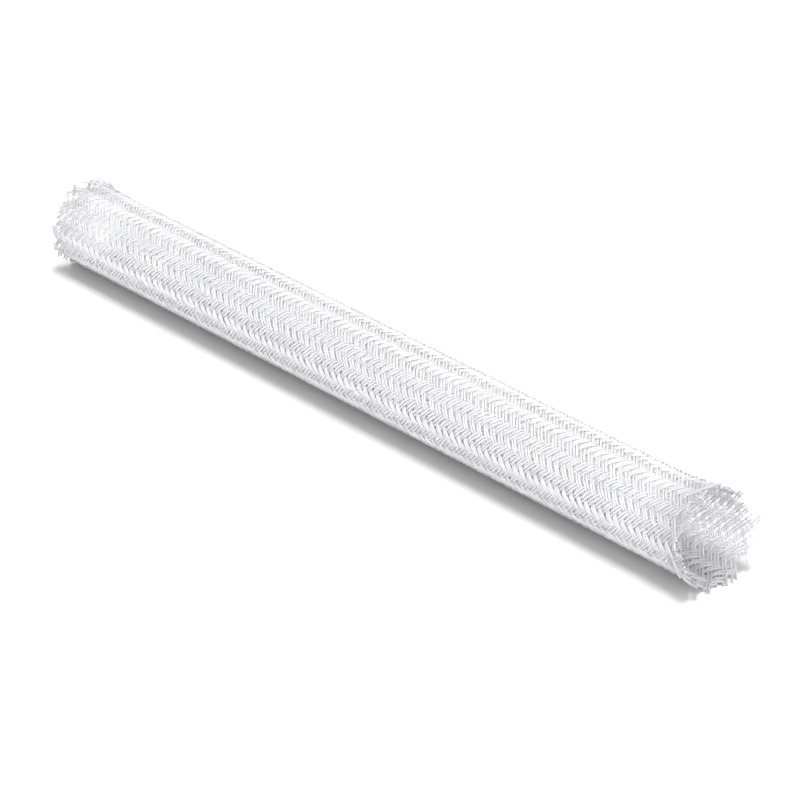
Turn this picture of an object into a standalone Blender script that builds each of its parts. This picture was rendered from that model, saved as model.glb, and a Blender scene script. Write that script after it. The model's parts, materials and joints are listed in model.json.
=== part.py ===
"""Braided cable sleeve: a straight cut length of round open-ended braid with frayed ends.

Lengths are in metres. The sleeve lies along X on the plane z = 0, with its middle at x = 0 and y = 0.
The braid is modelled as a wall with a plain grid of openings. Its yarns and the finer openings
between them are left to the finish.
"""

import math
import random

import bmesh
import bpy
from mathutils import Matrix, Vector

# Braided tube, relaxed
SLEEVE_LENGTH = 0.130      # between the longest loose yarn ends of the two cuts
OUTER_DIAMETER = 0.013     # over the yarns, which is also across the flats of the faceted wall
WALL_THICKNESS = 0.00065   # two crossing layers of yarn

# Cut ends, where the braid opens and its yarns stand free as tufts
TUFTS_PER_END = 24         # one for each pair of crossing yarns round the sleeve
LONGEST_TUFT = 0.0034
SHORTEST_TUFT = 0.0016
TUFT_GAP = 0.0007          # between neighbouring tufts at their tips
TUFT_LEAN_SHARE = 0.35     # of the gap, how far a tip leans sideways
TUFT_THICKNESS_SHARE = 0.75  # of the wall, at a tip
TUFT_SHOULDER_SHARE = 0.5  # of a tuft's length, where it stops being as wide as its root
FLARE_LENGTH = 0.009       # stretch of the tube that opens towards a cut
FLARE_RISE = 0.0012        # how far the longest upper tufts stand out of the tube
FLARE_RINGS = 4            # rows of facets along the flare

# Openings, far fewer and larger than those between the yarns
OPENING_ROWS = 12              # along the straight stretch, every second panel of a row being open
OPENING_END_MARGIN = 0.001     # wall left between an opening and the ends of its panel
OPENING_SIDE_MARGIN = 0.0003   # wall left between an opening and the sides of its panel

# Facets and finish
FACETS_PER_TUFT = 1        # the yarns run nearly straight from one crossing to the next
TUFT_ORDER_SEED = 13
SHARP_ANGLE = math.radians(40.0)
FILAMENT_COLOUR = (0.86, 0.865, 0.88, 1.0)
FILAMENT_ROUGHNESS = 0.38
FILAMENT_METALLIC = 0.0

# Worked out from the sizes above
FACETS = TUFTS_PER_END * FACETS_PER_TUFT
FACET_ANGLE = 2.0 * math.pi / FACETS
TUFT_ANGLE = 2.0 * math.pi / TUFTS_PER_END
OUTER_RADIUS = OUTER_DIAMETER / 2.0
BORE_RADIUS = OUTER_RADIUS - WALL_THICKNESS
MID_WALL_RADIUS = (OUTER_RADIUS + BORE_RADIUS) / 2.0
TUBE_HALF_LENGTH = SLEEVE_LENGTH / 2.0 - LONGEST_TUFT
FLARE_START = TUBE_HALF_LENGTH - FLARE_LENGTH
BOTTOM_EDGE_ANGLE = -math.pi / 2.0 - FACET_ANGLE / 2.0   # one edge of the facet that it lies on
PANEL_LENGTH = 2.0 * FLARE_START / OPENING_ROWS
OPENING_HALF_LENGTH = PANEL_LENGTH / 2.0 - OPENING_END_MARGIN
OPENING_HALF_WIDTH = OUTER_RADIUS * math.tan(FACET_ANGLE / 2.0) - OPENING_SIDE_MARGIN

# Corners of a panel and tips of its opening, in order round it: along the sleeve and across the facet
PANEL_CORNERS = ((-1.0, -1.0), (-1.0, 1.0), (1.0, 1.0), (1.0, -1.0))
OPENING_TIPS = ((-1.0, 0.0), (0.0, 1.0), (1.0, 0.0), (0.0, -1.0))


def clear_scene():
    """Remove every object that the file holds."""
    for thing in list(bpy.data.objects):
        bpy.data.objects.remove(thing, do_unlink=True)


def filament_material():
    """White polyester filament with a satin sheen."""
    material = bpy.data.materials.new("filament")
    material.use_nodes = True
    shader = material.node_tree.nodes["Principled BSDF"]
    shader.inputs["Base Color"].default_value = FILAMENT_COLOUR
    shader.inputs["Roughness"].default_value = FILAMENT_ROUGHNESS
    shader.inputs["Metallic"].default_value = FILAMENT_METALLIC
    return material


def angle_round_axis(point):
    """Angle of a point round the X axis, from +Y towards +Z."""
    return math.atan2(point.z, point.y)


def facet_stretch(angle):
    """How much further out a flat facet lies at an angle round the axis than at the facet's middle."""
    from_edge = (angle - BOTTOM_EDGE_ANGLE) % FACET_ANGLE
    return 1.0 / math.cos(from_edge - FACET_ANGLE / 2.0)


def ring_places():
    """Places of the rings of edges along the tube: at the rows of openings, and closer in the flares."""
    spacing = FLARE_LENGTH / FLARE_RINGS
    right_flare = [FLARE_START + spacing * (index + 1) for index in range(FLARE_RINGS)]
    left_flare = [-place for place in reversed(right_flare)]
    straight = [PANEL_LENGTH * index - FLARE_START for index in range(OPENING_ROWS + 1)]
    return left_flare + straight + right_flare


def spin_wall(bm):
    """Turn the wall's section about the X axis into a closed tube with a flat facet at its bottom."""
    places = ring_places()
    corner = facet_stretch(BOTTOM_EDGE_ANGLE)
    outer = [bm.verts.new((x, OUTER_RADIUS * corner, 0.0)) for x in places]
    inner = [bm.verts.new((x, BORE_RADIUS * corner, 0.0)) for x in reversed(places)]
    loop = outer + inner
    edges = [bm.edges.new((loop[index - 1], loop[index])) for index in range(len(loop))]
    bmesh.ops.rotate(bm, verts=loop, cent=(0.0, 0.0, 0.0), matrix=Matrix.Rotation(BOTTOM_EDGE_ANGLE, 3, "X"))
    bmesh.ops.spin(bm, geom=loop + edges, cent=(0.0, 0.0, 0.0), axis=(1.0, 0.0, 0.0),
                   angle=2.0 * math.pi, steps=FACETS, use_merge=True)
    bmesh.ops.recalc_face_normals(bm, faces=bm.faces[:])


def turn_from_bottom(point):
    """Angle of a point round the axis from the bottom facet's edge, from nothing to a whole turn."""
    return (angle_round_axis(point) - BOTTOM_EDGE_ANGLE) % (2.0 * math.pi)


def straight_panels(bm):
    """Outer and inner panels of the straight wall, each listed by its facet and its row."""
    outer = {}
    inner = {}
    for face in bm.faces:
        centre = face.calc_center_median()
        if abs(centre.x) < FLARE_START:
            facet = int(turn_from_bottom(centre) // FACET_ANGLE)
            row = int((centre.x + FLARE_START) // PANEL_LENGTH)
            layer = outer if math.hypot(centre.y, centre.z) > MID_WALL_RADIUS else inner
            layer[facet, row] = face
    return outer, inner


def open_panel(bm, panel, facet):
    """Replace a panel by a frame round a diamond opening, and return the opening's corners."""
    angle = BOTTOM_EDGE_ANGLE + FACET_ANGLE * (facet + 0.5)
    along = Vector((1.0, 0.0, 0.0))
    across = Vector((0.0, -math.sin(angle), math.cos(angle)))
    centre = panel.calc_center_median()
    corners = []
    for x_side, side in PANEL_CORNERS:
        direction = along * x_side + across * side
        corners.append(max(panel.verts, key=lambda vert: (vert.co - centre).dot(direction)))
    tips = []
    for x_side, side in OPENING_TIPS:
        place = centre + along * (x_side * OPENING_HALF_LENGTH) + across * (side * OPENING_HALF_WIDTH)
        tips.append(bm.verts.new(place))
    bm.faces.remove(panel)
    for index in range(len(tips)):
        bm.faces.new((corners[index - 1], corners[index], tips[index - 1]))
        bm.faces.new((corners[index], tips[index], tips[index - 1]))
    return tips


def cut_openings(bm):
    """Cut an opening through every second panel of the straight wall, staggered as in a braid."""
    outer, inner = straight_panels(bm)
    for facet, row in outer:
        if (facet + row) % 2:
            outside = open_panel(bm, outer[facet, row], facet)
            inside = open_panel(bm, inner[facet, row], facet)
            for index in range(len(outside)):
                bm.faces.new((outside[index - 1], outside[index], inside[index], inside[index - 1]))


def rim_faces(bm, side):
    """Faces of the cut edge at one end, in order round the sleeve from its bottom facet."""
    cut = side * TUBE_HALF_LENGTH
    reach = WALL_THICKNESS / 2.0
    faces = [face for face in bm.faces if all(abs(vert.co.x - cut) < reach for vert in face.verts)]
    return sorted(faces, key=lambda face: turn_from_bottom(face.calc_center_median()))


def draw_out(bm, faces, middle_angle, place, width_share, thickness_share, lean):
    """Extrude a tuft's end faces to a place along X and narrow them about the tuft's middle."""
    result = bmesh.ops.extrude_face_region(bm, geom=faces)
    bmesh.ops.delete(bm, geom=faces, context="FACES")
    for vert in (item for item in result["geom"] if isinstance(item, bmesh.types.BMVert)):
        old_angle = angle_round_axis(vert.co)
        offset = math.atan2(math.sin(old_angle - middle_angle), math.cos(old_angle - middle_angle))
        angle = middle_angle + offset * width_share + lean
        layer_radius = math.hypot(vert.co.y, vert.co.z) / facet_stretch(old_angle)
        layer_radius = MID_WALL_RADIUS + (layer_radius - MID_WALL_RADIUS) * thickness_share
        radius = layer_radius * facet_stretch(angle)
        vert.co = (place, radius * math.cos(angle), radius * math.sin(angle))
    return [item for item in result["geom"] if isinstance(item, bmesh.types.BMFace)]


def add_tufts(bm, side, order):
    """Draw the tufts of one end out of its cut edge, with lengths spread evenly and dealt out at random."""
    faces = rim_faces(bm, side)
    step = (LONGEST_TUFT - SHORTEST_TUFT) / (TUFTS_PER_END - 1)
    lengths = [SHORTEST_TUFT + step * index for index in range(TUFTS_PER_END)]
    order.shuffle(lengths)
    gap_angle = TUFT_GAP / MID_WALL_RADIUS
    tip_width_share = 1.0 - gap_angle / TUFT_ANGLE
    for index, length in enumerate(lengths):
        root = faces[index * FACETS_PER_TUFT:(index + 1) * FACETS_PER_TUFT]
        middle_angle = BOTTOM_EDGE_ANGLE + TUFT_ANGLE * (index + 0.5)
        lean = gap_angle * TUFT_LEAN_SHARE * order.uniform(-1.0, 1.0)
        cut = side * TUBE_HALF_LENGTH
        shoulder = cut + side * length * TUFT_SHOULDER_SHARE
        shoulder_width_share = (1.0 + tip_width_share) / 2.0
        root = draw_out(bm, root, middle_angle, shoulder, shoulder_width_share, 1.0, 0.0)
        draw_out(bm, root, middle_angle, cut + side * length, tip_width_share / shoulder_width_share,
                 TUFT_THICKNESS_SHARE, lean)


def open_flares(bm):
    """Widen both ends about the bottom facet, which stays straight on what the sleeve lies on."""
    for vert in bm.verts:
        along = max(0.0, abs(vert.co.x) - FLARE_START) / (SLEEVE_LENGTH / 2.0 - FLARE_START)
        growth = 1.0 + FLARE_RISE / OUTER_DIAMETER * along ** 2
        vert.co.y *= growth
        vert.co.z = (vert.co.z + OUTER_RADIUS) * growth


def build_sleeve(material):
    """The whole sleeve as one closed body."""
    bm = bmesh.new()
    spin_wall(bm)
    cut_openings(bm)
    order = random.Random(TUFT_ORDER_SEED)
    for side in (-1.0, 1.0):
        add_tufts(bm, side, order)
    open_flares(bm)
    bmesh.ops.recalc_face_normals(bm, faces=bm.faces[:])
    mesh = bpy.data.meshes.new("braided_sleeve")
    bm.to_mesh(mesh)
    bm.free()
    mesh.shade_smooth()
    mesh.set_sharp_from_angle(angle=SHARP_ANGLE)
    mesh.materials.append(material)
    sleeve = bpy.data.objects.new("braided_sleeve", mesh)
    bpy.context.scene.collection.objects.link(sleeve)
    return sleeve


def main():
    """Build the sleeve in an empty scene."""
    clear_scene()
    build_sleeve(filament_material())


main()
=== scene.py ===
"""Braided cable sleeve: its yarns, filament by filament, and the studio floor that it lies on.

Lengths are in metres, in the frame of the solid model: the sleeve lies along X on the plane z = 0.
"""

import json
import math

import bpy
from bpy.props import FloatProperty, FloatVectorProperty, IntProperty, PointerProperty
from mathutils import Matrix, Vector

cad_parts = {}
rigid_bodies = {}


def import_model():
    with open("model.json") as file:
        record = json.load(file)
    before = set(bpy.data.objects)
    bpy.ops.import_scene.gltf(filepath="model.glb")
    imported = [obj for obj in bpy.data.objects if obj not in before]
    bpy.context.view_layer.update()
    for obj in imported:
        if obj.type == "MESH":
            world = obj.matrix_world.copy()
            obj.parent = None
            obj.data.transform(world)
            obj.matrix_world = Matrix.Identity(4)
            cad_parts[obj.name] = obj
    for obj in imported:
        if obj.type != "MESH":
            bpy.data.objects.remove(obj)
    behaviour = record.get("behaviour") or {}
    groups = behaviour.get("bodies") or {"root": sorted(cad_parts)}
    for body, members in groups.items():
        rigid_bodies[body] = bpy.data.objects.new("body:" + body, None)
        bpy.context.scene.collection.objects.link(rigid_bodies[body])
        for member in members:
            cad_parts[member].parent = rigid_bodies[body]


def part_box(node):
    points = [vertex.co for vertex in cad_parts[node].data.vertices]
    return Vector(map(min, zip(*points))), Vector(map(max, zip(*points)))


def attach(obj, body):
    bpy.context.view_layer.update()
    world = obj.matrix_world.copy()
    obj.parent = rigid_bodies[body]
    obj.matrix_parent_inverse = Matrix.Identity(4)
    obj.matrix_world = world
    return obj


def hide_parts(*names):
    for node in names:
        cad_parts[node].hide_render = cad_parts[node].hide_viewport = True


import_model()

bl_info = {
    "name": "Braided Cable Sleeve",
    "version": (1, 0, 0),
    "blender": (4, 5, 0),
    "location": "3D View > Sidebar > Sleeve",
    "description": "Braids a cable sleeve from single filaments and sets it on a pale studio floor",
    "category": "Add Mesh",
}

SLEEVE_NODE = "braided_sleeve"
BODY = "root"

# The sleeve as a whole
SLEEVE_LOW, SLEEVE_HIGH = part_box(SLEEVE_NODE)
SLEEVE_LENGTH = SLEEVE_HIGH.x - SLEEVE_LOW.x
OUTER_DIAMETER = 0.013
RIGHT_HAND = 1.0
LEFT_HAND = -1.0
RIGHT_END = 1.0
LEFT_END = -1.0
YARNS_PER_PIECE = 8
PIECE_PREFIX = "yarns_"
BRAID_TREE = "Braid Yarns"
FILAMENT_MATERIAL = "Filament"
SHARP_ANGLE = math.radians(70.0)   # the rim of a cut filament stays sharp

# Braid pattern
WAVE_STEPS = 4.0            # crossings from one crest of a yarn to the next: over two and under two
FLAT_TOP_PASSES = 2         # times that the wave of a yarn is flattened at its crests
WANDER_YARN_STEP = 0.05     # metres of noise from one yarn to the next
WANDER_DETAIL = 1.0
LOWEST_SHIFT = 0.4          # in diameters: on the floor one direction keeps this much higher, the other lower
CUT_PASSES = 3              # passes that find where a yarn meets a slanted cut

# Added to a piece's seed, for one unevenness each
RIGHT_YARN_DRAW, RIGHT_FILAMENT_DRAW, LEFT_YARN_DRAW, LEFT_FILAMENT_DRAW = 0, 1, 2, 3
YARN_PLACE_DRAW, FILAMENT_PLACE_DRAW = 4, 5
YARN_TURN_DRAW, FILAMENT_TURN_DRAW = 6, 7
STAND_OUT_DRAW, TONE_DRAW = 8, 9

# How uneven the loose ends are
LEAST_TURN, MOST_TURN = 0.75, 1.15              # of the turn that a yarn has in the braid
FILAMENT_TURN_SPREAD = 0.08                     # more or less than its yarn
LEAST_STAND_OUT, MOST_STAND_OUT = -0.1, 1.0     # of the splay

# Camera
PICTURE_PIXELS = 800.0
SENSOR_WIDTH = 36.0         # millimetres
CAMERA_TARGET = Vector((0.00478, 0.0, 0.00325))
CLIP_NEAR, CLIP_FAR = 0.01, 10.0

# Floor and lamps
FLOOR_REACH = 3.0
FLOOR_ROUGHNESS = 0.9
WHITE = (1.0, 1.0, 1.0, 1.0)
OVERHEAD_LAMP = {"place": (0.0, 0.02, 0.6), "aim": (0.0, 0.0, 0.0), "size": 0.22}
FRONT_LAMP = {"place": (0.13, -0.53, 0.34), "aim": (0.0, 0.0, 0.0), "size": 0.15}
SIDE_LAMP = {"place": (0.3, -0.06, 0.26), "aim": (0.06, 0.0, 0.002), "size": 0.3}


class SleeveBraidSettings(bpy.types.PropertyGroup):
    """Sizes of the braid."""

    yarns_each_way: IntProperty(
        name="Yarns Each Way", description="Yarns that run round the sleeve in one direction", default=24, min=8)
    filaments_per_yarn: IntProperty(
        name="Filaments per Yarn", description="Filaments that lie side by side in one yarn", default=2, min=1)
    filament_diameter: FloatProperty(
        name="Filament Diameter", description="Thickness of one filament", default=0.00032, unit="LENGTH")
    filament_pitch: FloatProperty(
        name="Filament Pitch", description="Distance between neighbouring filaments of a yarn", default=0.00041,
        unit="LENGTH")
    filament_sides: IntProperty(
        name="Filament Sides", description="Flat sides round one filament", default=6, min=3)
    point_spacing: FloatProperty(
        name="Point Spacing", description="Distance along the sleeve between a filament's points",
        default=0.00034, unit="LENGTH")
    braid_angle: FloatProperty(
        name="Braid Angle", description="Angle between a yarn and the sleeve's axis", default=math.radians(50.5),
        subtype="ANGLE")
    pattern_turn: FloatProperty(
        name="Pattern Turn", description="Turn of the whole braid round the sleeve's axis",
        default=math.radians(-5.0), subtype="ANGLE")
    crimp_height: FloatProperty(
        name="Crimp Height", description="How far a yarn rises and dips from the middle of the wall",
        default=0.00017, unit="LENGTH")
    wander: FloatProperty(
        name="Wander", description="How far a yarn wanders on its way, as a share of the yarn spacing",
        default=0.5, min=0.0, max=1.0, subtype="FACTOR")
    wander_scale: FloatProperty(
        name="Wander Scale", description="How often a yarn wanders, for each metre of sleeve", default=180.0)
    yarn_unevenness: FloatProperty(
        name="Yarn Unevenness", description="How far a yarn lies out of place, as a share of the yarn spacing",
        default=0.06, min=0.0, max=1.0, subtype="FACTOR")
    filament_unevenness: FloatProperty(
        name="Filament Unevenness", default=0.02, min=0.0, max=1.0, subtype="FACTOR",
        description="How far a filament lies out of place in its yarn, as a share of the yarn spacing")


class SleeveCutSettings(bpy.types.PropertyGroup):
    """Shape of the two frayed cuts."""

    flare_length: FloatProperty(
        name="Flare Length", description="Stretch of the sleeve that opens towards a cut", default=0.012,
        unit="LENGTH")
    right_flare: FloatProperty(
        name="Right Flare", description="How far the upper yarn ends rise above the sleeve at the right cut",
        default=0.0012, unit="LENGTH")
    left_flare: FloatProperty(
        name="Left Flare", description="How far the upper yarn ends rise above the sleeve at the left cut",
        default=0.0003, unit="LENGTH")
    fray_length: FloatProperty(
        name="Fray Length", description="Difference between the longest and the shortest yarn end",
        default=0.0014, unit="LENGTH")
    filament_fray: FloatProperty(
        name="Filament Fray", description="Difference between the filament ends of one yarn", default=0.0003,
        unit="LENGTH")
    free_length: FloatProperty(
        name="Free Length", description="Stretch before the fray where the yarns already run straight",
        default=0.0009, unit="LENGTH")
    free_straightness: FloatProperty(
        name="Free Straightness", description="How far a free yarn gives up its turn round the sleeve",
        default=0.55, min=0.0, max=1.0, subtype="FACTOR")
    splay: FloatProperty(
        name="Splay", description="How steeply a free yarn may stand out of the sleeve", default=0.3, min=0.0)
    right_slant: FloatProperty(
        name="Right Slant", description="How much further the right cut reaches on its longest side",
        default=0.003, unit="LENGTH")
    right_longest_side: FloatProperty(
        name="Right Longest Side", description="Where that side is, from the back towards the top",
        default=math.radians(-66.0), subtype="ANGLE")
    left_slant: FloatProperty(
        name="Left Slant", description="How much further the left cut reaches on its longest side",
        default=0.0018, unit="LENGTH")
    left_longest_side: FloatProperty(
        name="Left Longest Side", description="Where that side is, from the back towards the top",
        default=math.radians(180.0), subtype="ANGLE")


class SleeveFilamentSettings(bpy.types.PropertyGroup):
    """Colour and finish of the filament, and the painted shade at the cuts."""

    darkest_tone: FloatVectorProperty(
        name="Darkest Tone", description="Colour of the darkest filaments", default=(0.93, 0.925, 0.96, 1.0),
        size=4, subtype="COLOR")
    lightest_tone: FloatVectorProperty(
        name="Lightest Tone", description="Colour of the lightest filaments", default=(0.98, 0.975, 1.0, 1.0),
        size=4, subtype="COLOR")
    # Painted shade: the colour that the filaments are greyed to towards a cut, and how closely it keeps to the cut
    painted_shade_at_cuts: FloatVectorProperty(
        name="Painted Shade at Cuts", description="Colour that the filaments take on towards a cut",
        default=(0.5, 0.495, 0.53, 1.0), size=4, subtype="COLOR")
    painted_shade_falloff: FloatProperty(
        name="Painted Shade Falloff", description="How closely that colour keeps to the cut", default=1.6, min=1.0)
    roughness: FloatProperty(
        name="Roughness", description="Roughness of the satin surface", default=0.3, min=0.0, max=1.0,
        subtype="FACTOR")
    refraction: FloatProperty(
        name="Refraction", description="Index of refraction of polyester", default=1.55, min=1.0)
    clearness: FloatProperty(
        name="Clearness", description="Share of the light that goes straight through", default=0.6, min=0.0,
        max=1.0, subtype="FACTOR")
    haze_depth: FloatProperty(
        name="Haze Depth", description="How far light spreads inside a filament", default=0.001, unit="LENGTH")


class SleeveStageSettings(bpy.types.PropertyGroup):
    """Camera, floor and lights."""

    azimuth: FloatProperty(
        name="Azimuth", description="Camera's direction from the sleeve's right end towards its front",
        default=math.radians(45.3), subtype="ANGLE")
    elevation: FloatProperty(
        name="Elevation", description="Camera's height above the floor, as an angle", default=math.radians(31.2),
        subtype="ANGLE")
    distance: FloatProperty(
        name="Distance", description="From the camera to the point it looks at", default=0.488, unit="LENGTH")
    focal_in_pixels: FloatProperty(
        name="Focal Length in Pixels", description="Lens, as pixels of an 800 pixel frame", default=3365.0)
    floor_colour: FloatVectorProperty(
        name="Floor Colour", description="Colour of the studio floor", default=(0.42, 0.42, 0.42), size=3,
        subtype="COLOR")
    room_brightness: FloatProperty(
        name="Room Brightness", description="Light that comes from all round", default=1.7)
    room_lean: FloatProperty(
        name="Room Lean", description="How much brighter the room is on the right, as a share of its brightness",
        default=0.45, min=0.0, max=1.0, subtype="FACTOR")
    overhead_power: FloatProperty(
        name="Overhead Power", description="Lamp over the sleeve, which lights the floor", default=6.0)
    front_power: FloatProperty(
        name="Front Power", description="Lamp before the sleeve, which lights the sleeve", default=2.6)
    side_power: FloatProperty(
        name="Side Power", description="Lamp on the right, which lights the inside of the opening", default=1.0)


# Inputs of the braid's node tree and their kinds. A size has the name of its setting.
PIECE_INPUTS = {
    "First Yarn": "Int",
    "Yarns Here": "Int",
    "Side": "Float",
    "Sleeve Length": "Float",
    "Outer Radius": "Float",
    "Seed": "Int",
    "Material": "Material",
}
BRAID_INPUTS = {
    "Yarns Each Way": "Int",
    "Filaments per Yarn": "Int",
    "Filament Diameter": "Float",
    "Filament Pitch": "Float",
    "Filament Sides": "Int",
    "Point Spacing": "Float",
    "Braid Angle": "Float",
    "Pattern Turn": "Float",
    "Crimp Height": "Float",
    "Wander": "Float",
    "Wander Scale": "Float",
    "Yarn Unevenness": "Float",
    "Filament Unevenness": "Float",
}
CUT_INPUTS = {
    "Flare Length": "Float",
    "Right Flare": "Float",
    "Left Flare": "Float",
    "Fray Length": "Float",
    "Filament Fray": "Float",
    "Free Length": "Float",
    "Free Straightness": "Float",
    "Splay": "Float",
    "Right Slant": "Float",
    "Right Longest Side": "Float",
    "Left Slant": "Float",
    "Left Longest Side": "Float",
}


def by_identifier(sockets):
    """Sockets of a node, by their identifiers."""
    return {socket.identifier: socket for socket in sockets}


class NodeSheet:
    """The braid's node tree under construction, with short calls for its inputs, nodes and sums."""

    def __init__(self, name):
        self.tree = bpy.data.node_groups.new(name, "GeometryNodeTree")
        self.entry = self.tree.nodes.new("NodeGroupInput")
        self.exit = self.tree.nodes.new("NodeGroupOutput")
        self.tree.interface.new_socket("Geometry", in_out="OUTPUT", socket_type="NodeSocketGeometry")
        self.given = {}

    def take(self, inputs):
        """Add named inputs to the tree."""
        for name, kind in inputs.items():
            self.tree.interface.new_socket(name, in_out="INPUT", socket_type="NodeSocket" + kind)
            self.given[name] = self.entry.outputs[name]

    def connect(self, source, target):
        """Link an output, or set a plain value on an input."""
        if isinstance(source, bpy.types.NodeSocket):
            self.tree.links.new(source, target)
        else:
            target.default_value = source

    def node(self, kind, settings=None, **inputs):
        """First output of a new node with the given settings and with inputs named by their identifiers."""
        node = self.tree.nodes.new(kind)
        for name, value in (settings or {}).items():
            setattr(node, name, value)
        sockets = by_identifier(node.inputs)
        for name, value in inputs.items():
            self.connect(value, sockets[name])
        return node.outputs[0]

    def sum(self, operation, *values):
        """Result of a Math node."""
        node = self.tree.nodes.new("ShaderNodeMath")
        node.operation = operation
        for socket, value in zip(node.inputs, values):
            self.connect(value, socket)
        return node.outputs[0]

    def add(self, *values):
        """Values added up."""
        total = values[0]
        for value in values[1:]:
            total = self.sum("ADD", total, value)
        return total

    def times(self, *values):
        """Values multiplied."""
        product = values[0]
        for value in values[1:]:
            product = self.sum("MULTIPLY", product, value)
        return product

    def less(self, value, taken):
        """A value with another taken off it."""
        return self.sum("SUBTRACT", value, taken)

    def over(self, value, divisor):
        """A value divided by another."""
        return self.sum("DIVIDE", value, divisor)

    def draw(self, low, high, number, which):
        """A random value for each number, one of the piece's draws."""
        node = self.tree.nodes.new("FunctionNodeRandomValue")
        node.data_type = "FLOAT"
        sockets = by_identifier(node.inputs)
        self.connect(low, sockets["Min_001"])
        self.connect(high, sockets["Max_001"])
        self.connect(number, sockets["ID"])
        self.connect(self.add(self.given["Seed"], which), sockets["Seed"])
        return by_identifier(node.outputs)["Value_001"]

    def spread(self, reach, number, which):
        """A random value from minus to plus a reach."""
        return self.draw(self.times(reach, -1.0), reach, number, which)

    def store(self, strands, name, domain, value):
        """Strands that carry a value as an attribute."""
        return self.node("GeometryNodeStoreNamedAttribute", {"data_type": "FLOAT", "domain": domain},
                         Geometry=strands, Name=name, Value=value)


def half_line(sheet):
    """Half of a straight filament's length before it is cut, which is enough for the longest tip."""
    given = sheet.given
    slant = sheet.sum("MAXIMUM", given["Right Slant"], given["Left Slant"])
    return sheet.times(sheet.add(given["Sleeve Length"], slant), 0.5)


def straight_strands(sheet):
    """One straight filament for each lane of each yarn, numbered in an attribute."""
    given = sheet.given
    half = half_line(sheet)
    start = sheet.node("ShaderNodeCombineXYZ", X=sheet.times(half, -1.0))
    end = sheet.node("ShaderNodeCombineXYZ", X=half)
    line = sheet.node("GeometryNodeCurvePrimitiveLine", Start=start, End=end)
    line = sheet.node("GeometryNodeResampleCurve", {"mode": "LENGTH"}, Curve=line, Length=given["Point Spacing"])
    count = sheet.times(given["Yarns Here"], given["Filaments per Yarn"])
    places = sheet.node("GeometryNodeMeshLine", {"mode": "OFFSET", "count_mode": "TOTAL"}, Count=count,
                        Offset=(0.0, 0.0, 0.0))
    strands = sheet.node("GeometryNodeInstanceOnPoints", Points=places, Instance=line)
    strands = sheet.store(strands, "strand", "INSTANCE", sheet.node("GeometryNodeInputIndex"))
    return sheet.node("GeometryNodeRealizeInstances", Geometry=strands)


def number_strands(sheet):
    """Each filament's yarn, its lane in the yarn, counted from the middle, and its own number."""
    given = sheet.given
    filaments = given["Filaments per Yarn"]
    strand = sheet.node("GeometryNodeInputNamedAttribute", {"data_type": "FLOAT"}, Name="strand")
    yarn = sheet.add(sheet.sum("FLOOR", sheet.over(sheet.add(strand, 0.5), filaments)), given["First Yarn"])
    lane = sheet.sum("FLOOR", sheet.add(sheet.sum("FLOORED_MODULO", strand, filaments), 0.5))
    lane = sheet.less(lane, sheet.times(sheet.less(filaments, 1.0), 0.5))
    filament = sheet.add(strand, sheet.times(given["First Yarn"], filaments))
    return yarn, lane, filament


def find_cut(sheet, side_name, end, start_angle, turn):
    """Where a yarn leaves the braid at one end, and where its longest possible tip is, along X."""
    given = sheet.given
    half = sheet.times(given["Sleeve Length"], 0.5)
    loose = sheet.add(given["Fray Length"], given["Free Length"])
    reach = half
    for _ in range(CUT_PASSES):
        angle = sheet.add(start_angle, sheet.times(turn, sheet.less(reach, loose), end))
        from_longest = sheet.less(angle, given[side_name + " Longest Side"])
        reach = sheet.add(half, sheet.times(given[side_name + " Slant"], 0.5, sheet.sum("COSINE", from_longest)))
    return sheet.less(reach, loose), reach


def cut_strands(sheet, strands, right_reach, left_reach, yarn, filament):
    """Strands cut at both ends, each yarn and each of its filaments to its own length."""
    given = sheet.given
    fray, filament_fray = given["Fray Length"], given["Filament Fray"]
    half = half_line(sheet)
    right_short = sheet.add(sheet.draw(0.0, fray, yarn, RIGHT_YARN_DRAW),
                            sheet.draw(0.0, filament_fray, filament, RIGHT_FILAMENT_DRAW))
    left_short = sheet.add(sheet.draw(0.0, fray, yarn, LEFT_YARN_DRAW),
                           sheet.draw(0.0, filament_fray, filament, LEFT_FILAMENT_DRAW))
    left_tip = sheet.add(sheet.less(half, left_reach), left_short)
    right_tip = sheet.less(sheet.add(half, right_reach), right_short)
    return sheet.node("GeometryNodeTrimCurve", {"mode": "LENGTH"}, Curve=strands, Start_001=left_tip,
                      End_001=right_tip)


def uneven_angles(sheet, braided, yarn, filament, yarn_angle):
    """Three angles by which a filament lies beside its place in a perfect braid."""
    given = sheet.given
    noise_place = sheet.node("ShaderNodeCombineXYZ", X=braided, Y=sheet.times(yarn, WANDER_YARN_STEP))
    noise = sheet.node("ShaderNodeTexNoise", {"noise_dimensions": "4D"}, Vector=noise_place, W=given["Seed"],
                       Scale=given["Wander Scale"], Detail=WANDER_DETAIL)
    wander = sheet.times(sheet.less(noise, 0.5), yarn_angle, given["Wander"])
    yarn_place = sheet.times(sheet.spread(given["Yarn Unevenness"], yarn, YARN_PLACE_DRAW), yarn_angle)
    filament_place = sheet.times(sheet.spread(given["Filament Unevenness"], filament, FILAMENT_PLACE_DRAW),
                                 yarn_angle)
    return wander, yarn_place, filament_place


def rise_and_dip(sheet, yarn, lane_angle, turned, yarn_angle):
    """Wave from -1 to 1 of a yarn that goes over two crossing yarns and under two."""
    crossing = sheet.add(sheet.times(yarn, 2.0),
                         sheet.over(sheet.add(lane_angle, sheet.times(turned, 2.0)), yarn_angle))
    crossing = sheet.times(sheet.less(crossing, 0.5), 2.0 * math.pi / WAVE_STEPS)
    wave = sheet.sum("COSINE", crossing)
    for _ in range(FLAT_TOP_PASSES):
        wave = sheet.times(wave, sheet.less(1.5, sheet.times(wave, wave, 0.5)))
    return wave


def open_share(sheet, outwards, reach):
    """How far a place lies on the way from the start of a flare, at 0, to the cut, at 1."""
    flare = sheet.given["Flare Length"]
    past_start = sheet.less(outwards, sheet.less(reach, flare))
    return sheet.over(sheet.sum("MAXIMUM", past_start, 0.0), flare)


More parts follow.
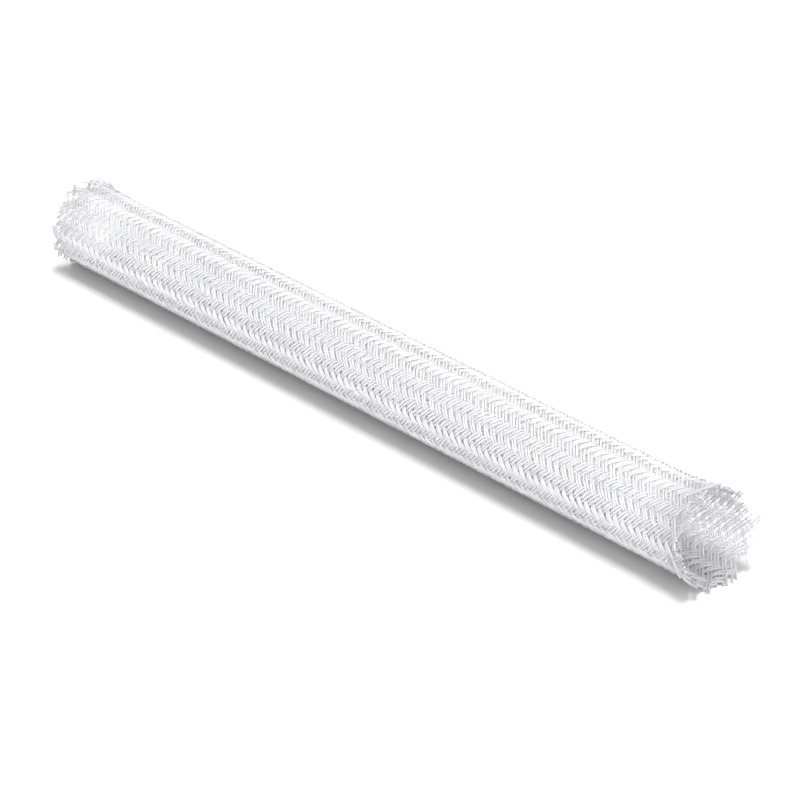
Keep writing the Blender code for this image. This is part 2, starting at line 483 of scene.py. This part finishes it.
def round_filaments(sheet, strands):
    """Round filaments with flat cut ends, along the strands."""
    given = sheet.given
    section = sheet.node("GeometryNodeCurvePrimitiveCircle", {"mode": "RADIUS"},
                         Resolution=given["Filament Sides"], Radius=sheet.times(given["Filament Diameter"], 0.5))
    mesh = sheet.node("GeometryNodeCurveToMesh", **{"Curve": strands, "Profile Curve": section, "Fill Caps": True})
    mesh = sheet.node("GeometryNodeRealizeInstances", Geometry=mesh)
    return sheet.node("GeometryNodeSetMaterial", Geometry=mesh, Material=given["Material"])


def yarn_tree():
    """Geometry node tree that braids the yarns of one direction as single filaments."""
    sheet = NodeSheet(BRAID_TREE)
    for inputs in (PIECE_INPUTS, BRAID_INPUTS, CUT_INPUTS):
        sheet.take(inputs)
    given = sheet.given
    side, crimp, diameter = given["Side"], given["Crimp Height"], given["Filament Diameter"]
    outer_radius = given["Outer Radius"]
    strands = straight_strands(sheet)
    yarn, lane, filament = number_strands(sheet)

    # Angle round the axis: where a filament starts, and its turn for each metre along
    wall_radius = sheet.less(outer_radius, sheet.add(crimp, sheet.times(diameter, 0.5)))
    turn = sheet.times(side, sheet.over(sheet.sum("TANGENT", given["Braid Angle"]), wall_radius))
    yarn_angle = sheet.over(2.0 * math.pi, given["Yarns Each Way"])
    lane_width = sheet.over(given["Filament Pitch"], sheet.sum("COSINE", given["Braid Angle"]))
    lane_angle = sheet.over(sheet.times(lane, lane_width), wall_radius)
    start_angle = sheet.add(sheet.times(yarn, yarn_angle), lane_angle, given["Pattern Turn"])

    # Both ends cut to uneven lengths on a slant
    right_leave, right_reach = find_cut(sheet, "Right", RIGHT_END, start_angle, turn)
    left_leave, left_reach = find_cut(sheet, "Left", LEFT_END, start_angle, turn)
    strands = cut_strands(sheet, strands, right_reach, left_reach, yarn, filament)

    # Place in the braid, and how far past its end
    along = sheet.node("ShaderNodeSeparateXYZ", Vector=sheet.node("GeometryNodeInputPosition"))
    braided = sheet.sum("MINIMUM", along, right_leave)
    braided = sheet.sum("MAXIMUM", braided, sheet.times(left_leave, -1.0))
    turned = sheet.times(turn, braided)
    free = sheet.less(along, braided)
    free_share = sheet.sum("ABSOLUTE", free)
    free_turn = sheet.times(turn, free,
                            sheet.add(sheet.draw(LEAST_TURN, MOST_TURN, yarn, YARN_TURN_DRAW),
                                      sheet.spread(FILAMENT_TURN_SPREAD, filament, FILAMENT_TURN_DRAW)))
    sideways = sheet.times(free_turn, given["Free Straightness"])
    angle = sheet.add(start_angle, turned, *uneven_angles(sheet, braided, yarn, filament, yarn_angle),
                      sheet.less(free_turn, sideways))
    wave = rise_and_dip(sheet, yarn, lane_angle, turned, yarn_angle)
    radius = sheet.add(wall_radius, sheet.times(side, crimp, wave))

    # Free ends run on straight and stand out a little
    stand_out = sheet.times(free_share, sheet.draw(LEAST_STAND_OUT, MOST_STAND_OUT, yarn, STAND_OUT_DRAW),
                            given["Splay"])
    stand_out = sheet.add(radius, stand_out)
    cosine = sheet.sum("COSINE", angle)
    sine = sheet.sum("SINE", angle)
    across = sheet.less(sheet.times(stand_out, cosine), sheet.times(radius, sine, sideways))
    height = sheet.add(sheet.times(stand_out, sine), sheet.times(radius, cosine, sideways), outer_radius)

    # Ends open about the line on which the sleeve lies
    right_open = open_share(sheet, along, right_reach)
    left_open = open_share(sheet, sheet.times(along, -1.0), left_reach)
    rise = sheet.add(sheet.times(right_open, right_open, given["Right Flare"]),
                     sheet.times(left_open, left_open, given["Left Flare"]))
    growth = sheet.add(1.0, sheet.over(rise, sheet.times(outer_radius, 2.0)))
    lowest = sheet.times(diameter, sheet.add(1.0, sheet.times(side, LOWEST_SHIFT)))
    lowest = sheet.sum("MINIMUM", lowest, sheet.add(sheet.times(diameter, 0.5), free_share))
    place = sheet.node("ShaderNodeCombineXYZ", X=along, Y=sheet.times(across, growth),
                       Z=sheet.sum("MAXIMUM", sheet.times(height, growth), lowest))
    # The openness also sets how much painted shade greys the filaments towards a cut
    strands = sheet.store(strands, "openness", "POINT", sheet.add(right_open, left_open))
    strands = sheet.node("GeometryNodeSetPosition", Geometry=strands, Position=place)
    strands = sheet.store(strands, "tone", "CURVE", sheet.draw(0.0, 1.0, filament, TONE_DRAW))
    sheet.connect(round_filaments(sheet, strands), sheet.exit.inputs[0])
    return sheet.tree


def apply_tree(name, tree, values):
    """A plain mesh object made by a node tree with the given named inputs."""
    host = bpy.data.objects.new(name, bpy.data.meshes.new(name))
    bpy.context.scene.collection.objects.link(host)
    modifier = host.modifiers.new("Braid", "NODES")
    modifier.node_group = tree
    for item in tree.interface.items_tree:
        if item.in_out == "INPUT":
            modifier[item.identifier] = values[item.name]
    evaluated = host.evaluated_get(bpy.context.evaluated_depsgraph_get())
    mesh = bpy.data.meshes.new_from_object(evaluated)
    host.modifiers.remove(modifier)
    host.data = mesh
    mesh.name = name
    return host


def filament_material(settings):
    """Clear white polyester filament with a satin sheen, in slightly different tones, with painted shade that
    greys it towards the cuts.
    """
    material = bpy.data.materials.get(FILAMENT_MATERIAL)
    if material:
        return material
    material = bpy.data.materials.new(FILAMENT_MATERIAL)
    material.use_nodes = True
    nodes = material.node_tree.nodes
    links = material.node_tree.links
    shader = nodes["Principled BSDF"]
    shader.inputs["Roughness"].default_value = settings.roughness
    shader.inputs["IOR"].default_value = settings.refraction
    shader.inputs["Transmission Weight"].default_value = settings.clearness
    shader.inputs["Subsurface Weight"].default_value = 1.0
    shader.inputs["Subsurface Radius"].default_value = (1.0, 1.0, 1.0)
    shader.inputs["Subsurface Scale"].default_value = settings.haze_depth

    # One tone for each filament
    tone = nodes.new("ShaderNodeAttribute")
    tone.attribute_name = "tone"
    ramp = nodes.new("ShaderNodeValToRGB")
    ramp.color_ramp.elements[0].color = settings.darkest_tone
    ramp.color_ramp.elements[1].color = settings.lightest_tone
    links.new(tone.outputs["Fac"], ramp.inputs["Fac"])

    # Painted shade: the base colour is greyed towards the cuts, to hold down the light that also comes through
    # from inside there
    openness = nodes.new("ShaderNodeAttribute")
    openness.attribute_name = "openness"
    falloff = nodes.new("ShaderNodeMath")
    falloff.operation = "POWER"
    falloff.inputs[1].default_value = settings.painted_shade_falloff
    links.new(openness.outputs["Fac"], falloff.inputs[0])
    shade_mix = nodes.new("ShaderNodeMix")
    shade_mix.data_type = "RGBA"
    shade_mix_inputs = by_identifier(shade_mix.inputs)
    shade_mix_inputs["B_Color"].default_value = settings.painted_shade_at_cuts
    links.new(falloff.outputs[0], shade_mix_inputs["Factor_Float"])
    links.new(ramp.outputs["Color"], shade_mix_inputs["A_Color"])
    links.new(by_identifier(shade_mix.outputs)["Result_Color"], shader.inputs["Base Color"])
    return material


def setting_values(settings, inputs):
    """Values of the node tree's inputs that have the names of settings."""
    return {name: getattr(settings, name.lower().replace(" ", "_")) for name in inputs}


class SleeveYarnOperator:
    """What the two yarn operators share. Each has its own side, piece name and seed."""

    def execute(self, context):
        scene = context.scene
        yarns = scene.sleeve_braid.yarns_each_way
        if yarns % 2:
            raise RuntimeError("A braid that passes over two and under two needs an even number of yarns each way")
        tree = bpy.data.node_groups.get(BRAID_TREE) or yarn_tree()
        values = {
            "Side": self.side,
            "Sleeve Length": SLEEVE_LENGTH,
            "Outer Radius": OUTER_DIAMETER / 2.0,
            "Seed": self.seed,
            "Material": filament_material(scene.sleeve_filament),
            **setting_values(scene.sleeve_braid, BRAID_INPUTS),
            **setting_values(scene.sleeve_cut, CUT_INPUTS),
        }
        for first in range(0, yarns, YARNS_PER_PIECE):
            values["First Yarn"] = first
            values["Yarns Here"] = min(YARNS_PER_PIECE, yarns - first)
            piece = apply_tree(f"{self.piece_name}_{first // YARNS_PER_PIECE + 1}", tree, values)
            piece.data.shade_smooth()
            piece.data.set_sharp_from_angle(angle=SHARP_ANGLE)
            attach(piece, BODY)
            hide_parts(SLEEVE_NODE)
        return {"FINISHED"}


class SLEEVE_OT_right_hand_yarns(SleeveYarnOperator, bpy.types.Operator):
    """Braid the yarns that turn right-handed round the sleeve"""

    bl_idname = "sleeve.right_hand_yarns"
    bl_label = "Right-Hand Yarns"
    side = RIGHT_HAND
    piece_name = PIECE_PREFIX + "right_hand"
    seed = 10


class SLEEVE_OT_left_hand_yarns(SleeveYarnOperator, bpy.types.Operator):
    """Braid the yarns that turn left-handed round the sleeve"""

    bl_idname = "sleeve.left_hand_yarns"
    bl_label = "Left-Hand Yarns"
    side = LEFT_HAND
    piece_name = PIECE_PREFIX + "left_hand"
    seed = 30


def add_camera(settings):
    """Camera at the photograph's viewing angle."""
    data = bpy.data.cameras.new("Camera")
    camera = bpy.data.objects.new("Camera", data)
    bpy.context.scene.collection.objects.link(camera)
    azimuth, elevation = settings.azimuth, settings.elevation
    back = Vector((math.cos(elevation) * math.cos(azimuth), -math.cos(elevation) * math.sin(azimuth),
                   math.sin(elevation)))
    camera.location = CAMERA_TARGET + back * settings.distance
    camera.rotation_mode = "QUATERNION"
    camera.rotation_quaternion = (-back).to_track_quat("-Z", "Y")
    data.sensor_width = SENSOR_WIDTH
    data.lens = SENSOR_WIDTH * settings.focal_in_pixels / PICTURE_PIXELS
    data.clip_start = CLIP_NEAR
    data.clip_end = CLIP_FAR
    bpy.context.scene.camera = camera


def add_floor(colour):
    """Large plain floor under the sleeve."""
    mesh = bpy.data.meshes.new("studio_floor")
    corners = [(-FLOOR_REACH, -FLOOR_REACH, 0.0), (FLOOR_REACH, -FLOOR_REACH, 0.0),
               (FLOOR_REACH, FLOOR_REACH, 0.0), (-FLOOR_REACH, FLOOR_REACH, 0.0)]
    mesh.from_pydata(corners, [], [(0, 1, 2, 3)])
    material = bpy.data.materials.new("Floor")
    material.use_nodes = True
    shader = material.node_tree.nodes["Principled BSDF"]
    shader.inputs["Base Color"].default_value = (*colour, 1.0)
    shader.inputs["Roughness"].default_value = FLOOR_ROUGHNESS
    mesh.materials.append(material)
    floor = bpy.data.objects.new("studio_floor", mesh)
    bpy.context.scene.collection.objects.link(floor)
    return floor


def add_area_light(name, power, lit, place, aim, size):
    """Soft square lamp that faces a point and lights only the given objects."""
    data = bpy.data.lights.new(name, "AREA")
    data.size = size
    data.energy = power
    light = bpy.data.objects.new(name, data)
    light.location = place
    light.rotation_mode = "QUATERNION"
    light.rotation_quaternion = (Vector(aim) - Vector(place)).to_track_quat("-Z", "Y")
    bpy.context.scene.collection.objects.link(light)
    group = bpy.data.collections.new(name + " Lit")
    for thing in lit:
        group.objects.link(thing)
    light.light_linking.receiver_collection = group


def studio_room(brightness, lean):
    """White room light from all round, brighter from the right than from the left."""
    world = bpy.data.worlds.new("Studio Room")
    world.use_nodes = True
    nodes = world.node_tree.nodes
    links = world.node_tree.links
    background = nodes["Background"]
    background.inputs["Color"].default_value = WHITE
    direction = nodes.new("ShaderNodeTexCoord")
    parts = nodes.new("ShaderNodeSeparateXYZ")
    strength = nodes.new("ShaderNodeMapRange")
    strength.inputs["From Min"].default_value = -1.0
    strength.inputs["From Max"].default_value = 1.0
    strength.inputs["To Min"].default_value = brightness * (1.0 - lean)
    strength.inputs["To Max"].default_value = brightness * (1.0 + lean)
    links.new(direction.outputs["Generated"], parts.inputs["Vector"])
    links.new(parts.outputs["X"], strength.inputs["Value"])
    links.new(strength.outputs["Result"], background.inputs["Strength"])
    return world


class SLEEVE_OT_stage(bpy.types.Operator):
    """Set up the pale floor, the soft lights and the camera"""

    bl_idname = "sleeve.stage"
    bl_label = "Studio Stage"

    def execute(self, context):
        settings = context.scene.sleeve_stage
        add_camera(settings)
        floor = add_floor(settings.floor_colour)
        context.scene.world = studio_room(settings.room_brightness, settings.room_lean)
        yarns = [thing for thing in bpy.data.objects if thing.name.startswith(PIECE_PREFIX)]
        add_area_light("Overhead Lamp", settings.overhead_power, [floor], **OVERHEAD_LAMP)
        add_area_light("Front Lamp", settings.front_power, yarns, **FRONT_LAMP)
        add_area_light("Side Lamp", settings.side_power, yarns, **SIDE_LAMP)
        context.scene.view_settings.view_transform = "Standard"
        return {"FINISHED"}


class SLEEVE_PT_panel(bpy.types.Panel):
    """Lists the sleeve's steps and sizes"""

    bl_label = "Braided Cable Sleeve"
    bl_idname = "SLEEVE_PT_panel"
    bl_space_type = "VIEW_3D"
    bl_region_type = "UI"
    bl_category = "Sleeve"

    def draw(self, context):
        layout = self.layout
        for operator in OPERATORS:
            layout.operator(operator.bl_idname)
        for group in SETTINGS:
            settings = getattr(context.scene, group)
            box = layout.box()
            for name in settings.bl_rna.properties.keys():
                if name not in {"rna_type", "name"}:
                    box.prop(settings, name)


SETTINGS = {
    "sleeve_braid": SleeveBraidSettings,
    "sleeve_cut": SleeveCutSettings,
    "sleeve_filament": SleeveFilamentSettings,
    "sleeve_stage": SleeveStageSettings,
}
OPERATORS = (SLEEVE_OT_right_hand_yarns, SLEEVE_OT_left_hand_yarns, SLEEVE_OT_stage)
CLASSES = (*SETTINGS.values(), *OPERATORS, SLEEVE_PT_panel)


def register():
    """Add the classes and the scene's settings."""
    for each in CLASSES:
        bpy.utils.register_class(each)
    for name, settings in SETTINGS.items():
        setattr(bpy.types.Scene, name, PointerProperty(type=settings))


def unregister():
    """Take the settings and the classes away again."""
    for name in SETTINGS:
        delattr(bpy.types.Scene, name)
    for each in reversed(CLASSES):
        bpy.utils.unregister_class(each)


def main():
    """Build every piece and the stage."""
    register()
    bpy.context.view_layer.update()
    bpy.ops.sleeve.right_hand_yarns()
    bpy.ops.sleeve.left_hand_yarns()
    bpy.ops.sleeve.stage()


if __name__ == "__main__":
    main()
